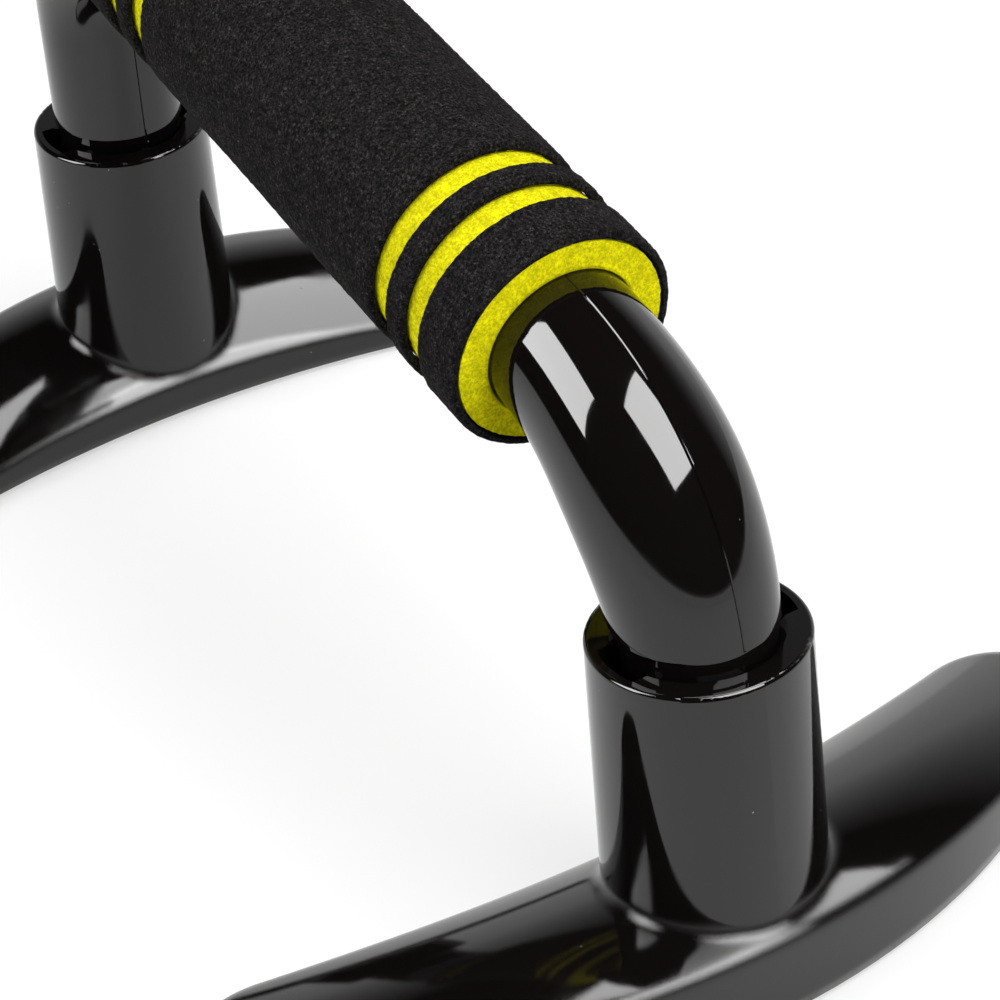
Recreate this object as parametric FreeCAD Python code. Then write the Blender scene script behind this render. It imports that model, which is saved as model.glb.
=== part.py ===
"""Push-up bar with a sloping foam-gripped handle and two twist-off bowed feet.

X runs along the handle with the low end at +X, Y runs along the feet, Z is up.
The origin is on the floor, midway between the feet. All lengths are in millimetres.
"""
import FreeCAD, Part
import math
import os
from FreeCAD import Placement, Rotation, Vector

# Stance: where the two legs meet the handle
LEG_SPREAD = 205.0          # between the centres of the two socket rims
LEG_SPLAY = 3.0             # degrees, each leg leans out towards the floor
RIM_HEIGHT = 61.0           # socket rim above the floor
HANDLE_RISE = 45.3          # handle axis above the rims, midway between the legs
HANDLE_PITCH = 10.0         # degrees, the handle slopes down towards +X

# Handle tube, moulded as two half shells that meet in the bend plane
TUBE_RADIUS = 12.85
TUBE_WALL = 2.8
LOW_BEND_RADIUS = 41.0      # bend of the centre line at the low, front end
HIGH_BEND_RADIUS = 35.0     # bend of the centre line at the high, rear end
ELBOW_SWELL = 1.2           # thicker all round in the middle of each bend
SEAM_BEVEL = 0.22           # bevel on the outer corners of the seam
SHOULDER_GAP = 2.8          # end of the tube above the socket rim
END_WALL = 3.0              # wall that closes the tube at its shoulder
RIB_THICKNESS = 2.0         # cross walls inside the tube

# Screws that join the half shells under the grip
SCREW_COUNT = 4
SCREW_END = 13.0            # from the end of the grip to the first screw
SCREW_RADIUS = 1.5
SCREW_EASE = 0.05
SCREW_TIP_WALL = 4.7        # from the tip of a screw to the outside of the tube
SCREW_SINK = 2.1            # top of the head below the outside of the tube
SCREW_HEAD_RADIUS = 2.8
SCREW_HEAD_HEIGHT = 2.2
SCREW_HEAD_EASE = 0.25
SCREW_SLOT_LENGTH = 3.6
SCREW_SLOT_WIDTH = 0.8
SCREW_SLOT_DEPTH = 1.1
BOSS_WALL = 0.75            # round the head of a screw

# Foam grip, a bright core under dark bands
LOW_MARGIN = 1.0            # bare tube between the grip and the front bend
HIGH_MARGIN = 0.65          # bare tube between the grip and the rear bend
GRIP_EASE = 0.25            # between the core and the tube
CORE_WALL = 5.1
BAND_THICKNESS = 1.3
BAND_EASE = 0.1             # between the bands and the core
BAND_EDGE = 1.0             # rounding of the bands' corners
END_BAND_LENGTH = 10.3
RING_WIDTH = 4.95
GROOVE_WIDTH = 4.85

# Twist-lock spigot below each end of the tube
SHOULDER_STEP = 0.75        # from the outside of the tube in to the spigot
SPIGOT_DEPTH = 27.0         # below the rim
SPIGOT_WALL = 2.85
SPIGOT_WEB = 4.0
SPIGOT_EDGE = 1.2
NECK_LENGTH = 12.0          # tongues of the half shells inside the spigot, below the rim
NECK_WALL = 3.0
NECK_EASE = 0.1
PIN_RADIUS = 1.5
PIN_DROP = 6.5              # pin axis below the rim
PIN_EASE = 0.05
PIN_INSET = 0.4             # ends of the pin below the outside of the spigot
LUG_WIDTH = 9.0
LUG_REACH = 2.0             # past the spigot
LUG_HEIGHT = 4.4

# Socket and column of each foot
SOCKET_CLEARANCE = 0.08
SOCKET_FLOOR = 3.0
MOUTH_WIDTH = 1.15          # chamfer at the mouth of the socket
MOUTH_DEPTH = 0.9
LEDGE = 5.0                 # ledge over the lugs
LUG_EASE = 0.3
SLOT_EASE = 0.5             # each side of a lug in its entry slot
SLOT_RELIEF = 1.5           # past the end of a lug in its entry slot
TWIST = 90.0                # degrees from locked to free
RIM_WALL = 1.65             # outside the entry slots
RIM_EDGE = 0.7
COLUMN_FLARE = 1.15         # wider at the floor than at the rim
COLUMN_WALL = 3.2
COLUMN_FILLET = 1.4

# Foot base, bowed in plan, with a crowned top that falls towards its ends
FOOT_HALF_LENGTH = 82.0
FOOT_SHOULDER = 1.8         # foot wider than the column on each side
FOOT_OUTER_RADIUS = 124.0
FOOT_INNER_RADIUS = 215.0
FOOT_END_RADIUS = 12.0
FOOT_CROWN = 17.4           # height of the crown beside the column
FOOT_OUTER_DROP = 1.0       # from the crown down to the crease on the outer side
FOOT_INNER_DROP = 9.4       # from the crown down to the crease on the inner side
FOOT_TIP = 5.6471           # height of the crown at the ends of the foot
FOOT_CREASE_EDGE = 1.2
FOOT_WALL = 2.6
FOOT_RIB = 2.0

# Rubber pads under the ends of each foot
PAD_PROUD = 1.2
PAD_DEPTH = 2.6
PAD_LENGTH = 28.0
PAD_WIDTH = 13.0
PAD_MARGIN = 7.0            # from the end of the foot to the end of the pad
PAD_EASE = 0.1
PAD_EDGE = 0.5
POCKET_WALL = 2.0

# Sizes that follow from the ones above
TUBE_BORE = TUBE_RADIUS - TUBE_WALL
SCREW_REACH = TUBE_RADIUS - SCREW_TIP_WALL
SCREW_TOP = TUBE_RADIUS - SCREW_SINK
SCREW_SEAT = SCREW_TOP - SCREW_HEAD_HEIGHT
BOSS_RADIUS = SCREW_HEAD_RADIUS + SCREW_HEAD_EASE + BOSS_WALL
CORE_RADIUS = TUBE_RADIUS + GRIP_EASE + CORE_WALL
BAND_BORE = CORE_RADIUS + BAND_EASE
GRIP_RADIUS = BAND_BORE + BAND_THICKNESS
SPIGOT_RADIUS = TUBE_RADIUS - SHOULDER_STEP
CUP_RADIUS = SPIGOT_RADIUS - SPIGOT_WALL
CUP_DEPTH = NECK_LENGTH + NECK_EASE
NECK_RADIUS = CUP_RADIUS - NECK_EASE
LUG_RADIUS = SPIGOT_RADIUS + LUG_REACH
LUG_TOP = -LEDGE - LUG_EASE
SOCKET_RADIUS = SPIGOT_RADIUS + SOCKET_CLEARANCE
SOCKET_DEPTH = SPIGOT_DEPTH + SOCKET_CLEARANCE
SLOT_WIDTH = LUG_WIDTH + 2 * SLOT_EASE
SLOT_RADIUS = LUG_RADIUS + SLOT_RELIEF
RIM_RADIUS = SLOT_RADIUS + RIM_WALL
COLUMN_RADIUS = RIM_RADIUS + COLUMN_FLARE
LEG_FOOT_X = LEG_SPREAD / 2 + RIM_HEIGHT * math.tan(math.radians(LEG_SPLAY))
FOOT_HALF_WIDTH = COLUMN_RADIUS + FOOT_SHOULDER
FOOT_BOW_RADIUS = 2 / (1 / FOOT_OUTER_RADIUS + 1 / FOOT_INNER_RADIUS)
FOOT_SAG = FOOT_BOW_RADIUS - math.sqrt(FOOT_BOW_RADIUS ** 2 - FOOT_HALF_LENGTH ** 2)
FOOT_FALL = math.atan2(FOOT_CROWN - FOOT_TIP, FOOT_SAG)  # slope of the plane that the crown follows
PAD_HEIGHT = PAD_PROUD + PAD_DEPTH
PAD_PLACE = FOOT_HALF_LENGTH - PAD_MARGIN - PAD_LENGTH / 2

# Helpers for the construction
X_AXIS = Vector(1, 0, 0)
Y_AXIS = Vector(0, 1, 0)
Z_AXIS = Vector(0, 0, 1)
FRONT, REAR = 1, -1
LEFT, RIGHT = -1, 1         # as seen when facing the front end
SPAN = 2 * (LEG_SPREAD + FOOT_HALF_LENGTH)  # larger than the object
OVERCUT = TUBE_WALL         # how far cuts and joints run past a face
TOUCH = 1e-6                # tolerance when picking edges
EDGE_SHARE = 0.45           # most of a wall that a rounding may take
CROWN_OVERRUN = 15.0        # degrees of the crown's arc past the creases
CROWN_SWEEP = 75.0          # degrees that the crown runs to each side
SPINE_SWEEP = 45.0          # degrees that the spine rib runs to each side
BASE_SAMPLES = 12           # points tested along an edge
ELBOW_SECTIONS = 8          # steps of the loft through a bend

HANDLE_FRAME = Placement(Vector(0, 0, RIM_HEIGHT + HANDLE_RISE), Rotation(Y_AXIS, HANDLE_PITCH))
UPRIGHT = HANDLE_FRAME.Rotation.multVec(Z_AXIS)
FRONT_LEG = Placement(Vector(LEG_SPREAD / 2, 0, RIM_HEIGHT), Rotation(Y_AXIS, -LEG_SPLAY))
HALF_TURN = Placement(Vector(), Rotation(Z_AXIS, 180))


def leg_frame(end):
    """Frame of a leg: origin at the rim centre, local Z up the leg, local X outwards."""
    return FRONT_LEG if end == FRONT else HALF_TURN.multiply(FRONT_LEG)


def placed(shape, frame):
    """Copy of a shape moved into a frame."""
    return shape.transformed(frame.toMatrix(), True)


def fused(first, *others):
    """Union of solids without leftover seams."""
    return first.fuse(list(others)).removeSplitter() if others else first


def slab(low, high):
    """Wide block between two heights."""
    return Part.makeBox(SPAN, SPAN, high - low, Vector(-SPAN / 2, -SPAN / 2, low))


def cylinder(radius, low, high, axis=Z_AXIS, centre=Vector()):
    """Cylinder between two distances along an axis through a point."""
    return Part.makeCylinder(radius, high - low, centre + axis * low, axis)


def revolved(points, axis=Z_AXIS, angle=360.0):
    """Solid of revolution about an axis through the origin."""
    return Part.Face(Part.makePolygon(points + points[:1])).revolve(Vector(), axis, angle)


def edges_where(shape, test):
    """Edges whose middle point and edge pass a test."""
    return [e for e in shape.Edges if test(e.valueAt((e.FirstParameter + e.LastParameter) / 2), e)]


def lines_meet(point, along, other, other_along):
    """Meeting point of two lines in the XZ plane."""
    gap = other - point
    cross = along.x * other_along.z - along.z * other_along.x
    return point + along * ((gap.x * other_along.z - gap.z * other_along.x) / cross)


def handle_bend(end):
    """Arc between the handle line and a leg line.

    Returns the arc's centre, its points on the handle and the leg, its turn and the leg's direction.
    """
    along = HANDLE_FRAME.Rotation.multVec(X_AXIS)
    leg = leg_frame(end)
    down = leg.Rotation.multVec(-Z_AXIS)
    corner = lines_meet(HANDLE_FRAME.Base, along, leg.Base, down)
    back = along * -end
    half = back.getAngle(down) / 2
    radius = LOW_BEND_RADIUS if end == FRONT else HIGH_BEND_RADIUS
    reach = radius / math.tan(half)
    middle = (back + down).normalize()
    centre = corner + middle * (radius / math.sin(half))
    return centre, corner + back * reach, corner + down * reach, 180.0 - 2 * math.degrees(half), down


def grip_place():
    """Frame at the middle of the grip, local X along the handle, and half the grip's length."""
    along_handle = HANDLE_FRAME.inverse()
    rear = along_handle.multVec(handle_bend(REAR)[1]).x + HIGH_MARGIN
    front = along_handle.multVec(handle_bend(FRONT)[1]).x - LOW_MARGIN
    middle = Placement(Vector((rear + front) / 2, 0, 0), Rotation())
    return HANDLE_FRAME.multiply(middle), (front - rear) / 2


GRIP_FRAME, GRIP_HALF = grip_place()
MAIN_BAND_HALF = GRIP_HALF - END_BAND_LENGTH - 2 * GROOVE_WIDTH - RING_WIDTH
SCREW_STEP = 2 * (GRIP_HALF - SCREW_END) / (SCREW_COUNT - 1)
SCREW_PLACES = [SCREW_END - GRIP_HALF + SCREW_STEP * i for i in range(SCREW_COUNT)]
RIB_PLACES = [place + SCREW_STEP / 2 for place in SCREW_PLACES[:-1]]


def half_ring(origin, normal, side, bore, radius):
    """Half of a tube section on one side of the bend plane, with beveled seam corners."""
    def at(a, b):
        return origin + normal * a + Y_AXIS * (side * b)
    bevel = SEAM_BEVEL
    start = math.sqrt(radius ** 2 - bevel ** 2)
    edges = [
        Part.Arc(at(start, bevel), at(0, radius), at(-start, bevel)).toShape(),
        Part.makeLine(at(-start, bevel), at(bevel - radius, 0)),
        Part.makeLine(at(radius - bevel, 0), at(start, bevel)),
    ]
    if bore > 0:
        edges.append(Part.makeLine(at(bevel - radius, 0), at(-bore, 0)))
        edges.append(Part.Arc(at(-bore, 0), at(0, bore), at(bore, 0)).toShape())
        edges.append(Part.makeLine(at(bore, 0), at(radius - bevel, 0)))
    else:
        edges.append(Part.makeLine(at(bevel - radius, 0), at(radius - bevel, 0)))
    return Part.Face(Part.Wire(Part.__sortEdges__(edges)))


def half_elbow(end, side, bore, radius):
    """One half of a bend, lofted so that it swells between the straight runs."""
    centre, start, _, turn, _ = handle_bend(end)
    sections = []
    for i in range(ELBOW_SECTIONS + 1):
        share = i / ELBOW_SECTIONS
        swell = ELBOW_SWELL * math.sin(math.pi * share) ** 2
        section = half_ring(start, UPRIGHT, side, bore + swell if bore else 0, radius + swell).OuterWire
        section.rotate(centre, Y_AXIS, end * turn * share)
        sections.append(section)
    return Part.makeLoft(sections, True)


def half_tube(side, bore, radius):
    """One half of the whole handle tube, cut square at both shoulders."""
    front_start = handle_bend(FRONT)[1]
    rear_start = handle_bend(REAR)[1]
    pieces = [half_ring(rear_start, UPRIGHT, side, bore, radius).extrude(front_start - rear_start)]
    for end in (FRONT, REAR):
        stop, _, down = handle_bend(end)[2:]
        pieces.append(half_elbow(end, side, bore, radius))
        drop = leg_frame(end).inverse().multVec(stop).z - SHOULDER_GAP
        if drop > 0:
            outward = leg_frame(end).Rotation.multVec(X_AXIS)
            pieces.append(half_ring(stop, outward, side, bore, radius).extrude(down * (drop + OVERCUT)))
    tube = fused(*pieces)
    wide = 2 * RIM_RADIUS
    below = Part.makeBox(2 * wide, 2 * wide, RIM_HEIGHT, Vector(-wide, -wide, SHOULDER_GAP - RIM_HEIGHT))
    for end in (FRONT, REAR):
        tube = tube.cut(placed(below, leg_frame(end)))
    return tube


def side_block(side):
    """Everything on one side of the bend plane."""
    return Part.makeBox(SPAN, SPAN, SPAN, Vector(-SPAN / 2, 0 if side == RIGHT else -SPAN, -SPAN / 2))


def pin_hole():
    """Hole for the cross pin of a leg, in the leg's frame."""
    return cylinder(PIN_RADIUS + PIN_EASE, -RIM_RADIUS, RIM_RADIUS, Y_AXIS, Vector(0, 0, -PIN_DROP))


def shell_neck(end):
    """Tongue below a shoulder that the spigot slides over, whole, with its pin hole."""
    neck = cylinder(NECK_RADIUS, -NECK_LENGTH, SHOULDER_GAP + END_WALL / 2)
    neck = neck.cut(cylinder(NECK_RADIUS - NECK_WALL, -NECK_LENGTH, SHOULDER_GAP))
    return placed(neck.cut(pin_hole()), leg_frame(end))


def screw_point(place):
    """Point on the handle axis at a distance from the grip's middle."""
    return GRIP_FRAME.multVec(Vector(place, 0, 0))


def handle_shell(side):
    """Half shell of the handle with its end walls, necks, ribs and screw bosses."""
    inside = TUBE_RADIUS - TUBE_WALL / 2
    shell = half_tube(side, TUBE_BORE, TUBE_RADIUS)
    filling = half_tube(side, 0, inside)
    extras = []
    for end in (FRONT, REAR):
        wall = cylinder(2 * TUBE_RADIUS, SHOULDER_GAP, SHOULDER_GAP + END_WALL)
        extras.append(filling.common(placed(wall, leg_frame(end))))
        extras.append(shell_neck(end).common(side_block(side)))
    for place in RIB_PLACES:
        disc = cylinder(inside, place - RIB_THICKNESS / 2, place + RIB_THICKNESS / 2, X_AXIS)
        extras.append(placed(disc, GRIP_FRAME).common(side_block(side)))
    for place in SCREW_PLACES:
        extras.append(cylinder(BOSS_RADIUS, 0, inside, Y_AXIS * side, screw_point(place)))
    shell = fused(shell, *extras)
    shank = SCREW_RADIUS + SCREW_EASE
    head = SCREW_HEAD_RADIUS + SCREW_HEAD_EASE
    for place in SCREW_PLACES:
        point = screw_point(place)
        if side == RIGHT:
            shell = shell.cut(cylinder(shank, -OVERCUT, SCREW_REACH + SCREW_EASE, Y_AXIS, point))
        else:
            shell = shell.cut(cylinder(shank, -OVERCUT, TUBE_RADIUS, -Y_AXIS, point))
            shell = shell.cut(cylinder(head, SCREW_SEAT, TUBE_RADIUS + OVERCUT, -Y_AXIS, point))
    return shell


def handle_screw(place):
    """Cross-head screw that joins the half shells."""
    point = screw_point(place)
    shank = cylinder(SCREW_RADIUS, -SCREW_REACH, SCREW_SEAT + SCREW_HEAD_HEIGHT / 2, -Y_AXIS, point)
    head = cylinder(SCREW_HEAD_RADIUS, SCREW_SEAT, SCREW_TOP, -Y_AXIS, point)
    screw = fused(shank, head)
    for long_x, long_z in ((SCREW_SLOT_LENGTH, SCREW_SLOT_WIDTH), (SCREW_SLOT_WIDTH, SCREW_SLOT_LENGTH)):
        corner = Vector(-long_x / 2, -SCREW_TOP, -long_z / 2)
        slot = Part.makeBox(long_x, SCREW_SLOT_DEPTH, long_z, corner)
        screw = screw.cut(slot.translated(point))
    return screw


def spigot(end):
    """Cup under a shoulder with two lugs that lock under the socket's ledge."""
    cup = cylinder(SPIGOT_RADIUS, -SPIGOT_DEPTH, SHOULDER_GAP)
    rim = edges_where(cup, lambda p, e: p.z < 0 and e.isClosed())
    cup = cup.makeChamfer(SPIGOT_EDGE, rim)
    lugs = Part.makeBox(2 * LUG_RADIUS, LUG_WIDTH, LUG_HEIGHT,
                        Vector(-LUG_RADIUS, -LUG_WIDTH / 2, LUG_TOP - LUG_HEIGHT))
    lugs = lugs.common(cylinder(LUG_RADIUS, -SPIGOT_DEPTH, 0))
    cup = fused(cup, lugs)
    cup = cup.cut(cylinder(CUP_RADIUS, -CUP_DEPTH, SHOULDER_GAP))
    cup = cup.cut(cylinder(CUP_RADIUS, -SPIGOT_DEPTH, -CUP_DEPTH - SPIGOT_WEB))
    return placed(cup.cut(pin_hole()), leg_frame(end))


def spigot_pin(end):
    """Steel cross pin through a spigot and the necks inside it."""
    half = SPIGOT_RADIUS - PIN_INSET
    pin = cylinder(PIN_RADIUS, -half, half, Y_AXIS, Vector(0, 0, -PIN_DROP))
    return placed(pin, leg_frame(end))


def band(low, high, edges):
    """Foam band between two places along the grip, its outer corners rounded by the given radii."""
    ring = revolved([Vector(low, 0, BAND_BORE), Vector(high, 0, BAND_BORE),
                     Vector(high, 0, GRIP_RADIUS), Vector(low, 0, GRIP_RADIUS)], X_AXIS)
    for place, radius in zip((low, high), edges):
        corner = edges_where(ring, lambda p, e: e.isClosed() and abs(p.x - place) < TOUCH
                             and e.Curve.Radius > GRIP_RADIUS - TOUCH)
        ring = ring.makeFillet(radius, corner)
    return ring


def band_edge(width):
    """Rounding of a band's corner, limited by the band's width and thickness."""
    return min(BAND_EDGE, EDGE_SHARE * width, 2 * EDGE_SHARE * BAND_THICKNESS)


def grip_core():
    """Bright foam sleeve that shows at its ends and in the grooves."""
    bore = TUBE_RADIUS + GRIP_EASE
    points = [(-GRIP_HALF, bore), (GRIP_HALF, bore), (GRIP_HALF, CORE_RADIUS), (-GRIP_HALF, CORE_RADIUS)]
    return placed(revolved([Vector(a, 0, r) for a, r in points], X_AXIS), GRIP_FRAME)


def main_band():
    """Long dark band in the middle of the grip."""
    edge = band_edge(2 * MAIN_BAND_HALF)
    return placed(band(-MAIN_BAND_HALF, MAIN_BAND_HALF, (edge, edge)), GRIP_FRAME)


def narrow_ring(end):
    """Narrow dark ring between the two grooves at one end."""
    low = MAIN_BAND_HALF + GROOVE_WIDTH
    edge = band_edge(RING_WIDTH)
    ring = band(low, low + RING_WIDTH, (edge, edge))
    return placed(ring if end == FRONT else placed(ring, HALF_TURN), GRIP_FRAME)


def end_band(end):
    """Dark band at one end, flush with the bright end face."""
    edge = band_edge(END_BAND_LENGTH)
    cover = band(GRIP_HALF - END_BAND_LENGTH, GRIP_HALF, (edge, edge))
    return placed(cover if end == FRONT else placed(cover, HALF_TURN), GRIP_FRAME)


def foot_outline(inset):
    """Bowed plan of the front foot, drawn in by an inset, as a face on the floor."""
    outer = FOOT_OUTER_RADIUS - inset
    inner = FOOT_INNER_RADIUS + inset
    outer_x = LEG_FOOT_X + FOOT_HALF_WIDTH - FOOT_OUTER_RADIUS
    inner_x = LEG_FOOT_X - FOOT_HALF_WIDTH - FOOT_INNER_RADIUS
    half = FOOT_HALF_LENGTH - inset

    def on(centre_x, radius, y):
        return Vector(centre_x + math.sqrt(radius ** 2 - y ** 2), y, 0)
    edges = [
        Part.Arc(on(outer_x, outer, -half), on(outer_x, outer, 0), on(outer_x, outer, half)).toShape(),
        Part.makeLine(on(outer_x, outer, half), on(inner_x, inner, half)),
        Part.Arc(on(inner_x, inner, half), on(inner_x, inner, 0), on(inner_x, inner, -half)).toShape(),
        Part.makeLine(on(inner_x, inner, -half), on(outer_x, outer, -half)),
    ]
    return Part.Face(Part.Wire(edges))


def foot_crown(drop):
    """Block under the crowned top, lowered by a drop. Its top is part of a tilted torus."""
    tilt = FOOT_FALL
    bow = FOOT_BOW_RADIUS * math.cos(tilt)
    apex = Vector(LEG_FOOT_X, 0, FOOT_CROWN - drop)
    hub = apex - Vector(math.cos(tilt), 0, math.sin(tilt)) * bow
    outer = apex + Vector(FOOT_HALF_WIDTH, 0, -FOOT_OUTER_DROP)
    inner = apex + Vector(-FOOT_HALF_WIDTH, 0, -FOOT_INNER_DROP)
    crown = Part.Arc(outer, apex, inner).toShape()
    wide = math.radians(CROWN_OVERRUN)
    arc = Part.ArcOfCircle(crown.Curve, crown.FirstParameter - wide, crown.LastParameter + wide)
    first, last = arc.StartPoint, arc.EndPoint
    deep = Vector(0, 0, -FOOT_HALF_LENGTH)
    profile = Part.Wire(Part.__sortEdges__([
        arc.toShape(), Part.makeLine(last, last + deep), Part.makeLine(last + deep, first + deep),
        Part.makeLine(first + deep, first)]))
    axis = Vector(-math.sin(tilt), 0, math.cos(tilt))
    block = Part.Face(profile).revolve(hub, axis, 2 * CROWN_SWEEP)
    block.rotate(hub, axis, -CROWN_SWEEP)
    return block


def foot_block(inset, drop):
    """Solid foot base, drawn in by an inset and lowered by a drop."""
    outline = foot_outline(inset)
    ends = [e.Length for e in outline.Edges if isinstance(e.Curve, Part.Line)]
    side = outline.extrude(Vector(0, 0, 2 * FOOT_CROWN))
    corners = edges_where(side, lambda p, e: abs(p.z - FOOT_CROWN) < TOUCH)
    side = side.makeFillet(min(FOOT_END_RADIUS - inset, EDGE_SHARE * min(ends)), corners)
    return side.common(foot_crown(drop))


def bow_frame(distance):
    """Frame on the foot's middle line at a distance along it, local Y along the foot."""
    arm = Rotation(Z_AXIS, math.degrees(distance / FOOT_BOW_RADIUS))
    hub = Vector(LEG_FOOT_X - FOOT_BOW_RADIUS, 0, 0)
    return Placement(hub + arm.multVec(Vector(FOOT_BOW_RADIUS, 0, 0)), arm)


def pad_block(grow, high):
    """Stadium-shaped block of a pad from the floor up, grown all round, along local Y."""
    half = PAD_WIDTH / 2 + grow
    run = PAD_LENGTH - PAD_WIDTH
    block = Part.makeBox(2 * half, run, high, Vector(-half, -run / 2, 0))
    ends = [cylinder(half, 0, high, Z_AXIS, Vector(0, y, 0)) for y in (-run / 2, run / 2)]
    return fused(block, *ends)


def foot_ribs(body):
    """Stiffening ribs and pad pockets inside the foot, trimmed to its outer body."""
    near = FOOT_BOW_RADIUS - FOOT_RIB / 2
    far = FOOT_BOW_RADIUS + FOOT_RIB / 2
    top = 2 * FOOT_CROWN
    section = [Vector(near, 0, 0), Vector(far, 0, 0), Vector(far, 0, top), Vector(near, 0, top)]
    spine = revolved(section, Z_AXIS, 2 * SPINE_SWEEP)
    spine.rotate(Vector(), Z_AXIS, -SPINE_SWEEP)
    ribs = [spine.translated(Vector(LEG_FOOT_X - FOOT_BOW_RADIUS, 0, 0)).common(body)]
    wide = 2 * FOOT_HALF_WIDTH
    wall = Part.makeBox(2 * wide, FOOT_RIB, top, Vector(-wide, -FOOT_RIB / 2, 0))
    pocket = pad_block(PAD_EASE + POCKET_WALL, top)
    pocket_start = PAD_PLACE - PAD_LENGTH / 2 - PAD_EASE - POCKET_WALL
    for side in (LEFT, RIGHT):
        ribs.append(placed(wall, bow_frame(side * (COLUMN_RADIUS + pocket_start) / 2)).common(body))
        ribs.append(placed(pocket, bow_frame(side * PAD_PLACE)).common(body))
    return ribs


def lug_track():
    """Space under the ledge in which the lugs turn, with a stop at each end, in the leg's frame."""
    radius = LUG_RADIUS + LUG_EASE
    low = LUG_TOP - LUG_HEIGHT - LUG_EASE
    bore = SOCKET_RADIUS / 2
    high = -LEDGE
    section = [Vector(bore, 0, low), Vector(radius, 0, low), Vector(radius, 0, high), Vector(bore, 0, high)]
    locked = math.degrees(math.asin((LUG_WIDTH / 2 + LUG_EASE) / SPIGOT_RADIUS))
    free = math.degrees(math.asin(SLOT_WIDTH / 2 / SPIGOT_RADIUS))
    track = revolved(section, Z_AXIS, TWIST + locked + free)
    track.rotate(Vector(), Z_AXIS, -TWIST - free)
    corner = Vector(-SLOT_WIDTH / 2, -SLOT_RADIUS, low)
    entry = Part.makeBox(SLOT_WIDTH, 2 * SLOT_RADIUS, OVERCUT - low, corner)
    entry = entry.common(cylinder(SLOT_RADIUS, low, OVERCUT))
    entry.rotate(Vector(), Z_AXIS, 90 - TWIST)
    opposite = placed(track, HALF_TURN)
    return [track, opposite, entry]


def column_hollow():
    """Space inside the column under the socket's floor, with crossed ribs, in the leg's frame."""
    radius = RIM_RADIUS - COLUMN_WALL
    length = 2 * RIM_HEIGHT
    hollow = cylinder(radius, -length, -SOCKET_DEPTH - SOCKET_FLOOR)
    for across, along in ((FOOT_RIB, 2 * RIM_RADIUS), (2 * RIM_RADIUS, FOOT_RIB)):
        hollow = hollow.cut(Part.makeBox(across, along, length, Vector(-across / 2, -along / 2, -length)))
    return hollow


def socket_cuts():
    """Bore, mouth, lug track and hollow of the column, in the leg's frame."""
    bore = cylinder(SOCKET_RADIUS, -SOCKET_DEPTH, OVERCUT)
    mouth = Part.makeCone(SOCKET_RADIUS, SOCKET_RADIUS + MOUTH_WIDTH, MOUTH_DEPTH, Vector(0, 0, -MOUTH_DEPTH))
    return [bore, mouth, column_hollow()] + lug_track()


def is_column_base(edge):
    """Whether an edge runs round the column where it leaves the foot's crown."""
    for point in edge.discretize(BASE_SAMPLES):
        local = FRONT_LEG.inverse().multVec(point)
        on_column = RIM_RADIUS < math.hypot(local.x, local.y) < COLUMN_RADIUS
        if not on_column or not PAD_PROUD < point.z < 2 * FOOT_CROWN:
            return False
    return True


def front_foot():
    """Front foot: bowed hollow base with the column and its twist-lock socket."""
    length = RIM_HEIGHT / math.cos(math.radians(LEG_SPLAY))
    column = Part.makeCone(COLUMN_RADIUS, RIM_RADIUS, length, Vector(0, 0, -length))
    rim = edges_where(column, lambda p, e: abs(p.z) < TOUCH and e.isClosed())
    column = placed(column.makeFillet(RIM_EDGE, rim), FRONT_LEG)
    body = foot_block(0, 0)
    ribs = foot_ribs(body)
    crown = next(face for face in body.Faces if isinstance(face.Surface, Part.Toroid)
                 and face.Area > FOOT_HALF_LENGTH * FOOT_HALF_WIDTH)
    foot = fused(body.makeFillet(FOOT_CREASE_EDGE, crown.Edges), column)
    foot = foot.makeFillet(COLUMN_FILLET, [e for e in foot.Edges if is_column_base(e)])
    hollow = foot_block(FOOT_WALL, FOOT_WALL)
    core = placed(cylinder(RIM_RADIUS, -2 * RIM_HEIGHT, 0), FRONT_LEG)
    for kept in [core] + ribs:
        hollow = hollow.cut(kept)
    foot = foot.cut(hollow)
    for cut in socket_cuts():
        foot = foot.cut(placed(cut, FRONT_LEG))
    recess = pad_block(PAD_EASE, PAD_HEIGHT)
    for side in (LEFT, RIGHT):
        foot = foot.cut(placed(recess, bow_frame(side * PAD_PLACE)))
    return foot.common(slab(PAD_PROUD, SPAN))


def foot_pad(end, side):
    """Rubber pad in its pocket under one end of a foot."""
    pad = pad_block(0, PAD_HEIGHT)
    rim = edges_where(pad, lambda p, e: abs(p.z) < TOUCH)
    pad = placed(pad.makeFillet(PAD_EDGE, rim), bow_frame(side * end * PAD_PLACE))
    return pad if end == FRONT else placed(pad, HALF_TURN)


def build():
    """All pieces by name."""
    foot = front_foot()
    pieces = {
        "handle_shell_left": handle_shell(LEFT),
        "handle_shell_right": handle_shell(RIGHT),
        "handle_screws": Part.makeCompound([handle_screw(place) for place in SCREW_PLACES]),
        "grip_core": grip_core(),
        "grip_main_band": main_band(),
        "foot_front": foot,
        "foot_rear": placed(foot, HALF_TURN),
    }
    for end, name in ((FRONT, "front"), (REAR, "rear")):
        pieces["grip_ring_" + name] = narrow_ring(end)
        pieces["grip_end_band_" + name] = end_band(end)
        pieces["spigot_" + name] = spigot(end)
        pieces["spigot_pin_" + name] = spigot_pin(end)
        for side, hand in ((LEFT, "left"), (RIGHT, "right")):
            pieces["pad_" + name + "_" + hand] = foot_pad(end, side)
    return pieces


os.makedirs("parts", exist_ok=True)
for node, shape in build().items():
    solids = len(shape.Solids)
    print(node, "solids", solids, "volume", round(shape.Volume, 1), "valid", shape.isValid())
    shape.exportStep("parts/" + node + ".step")
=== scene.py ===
import math

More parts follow.
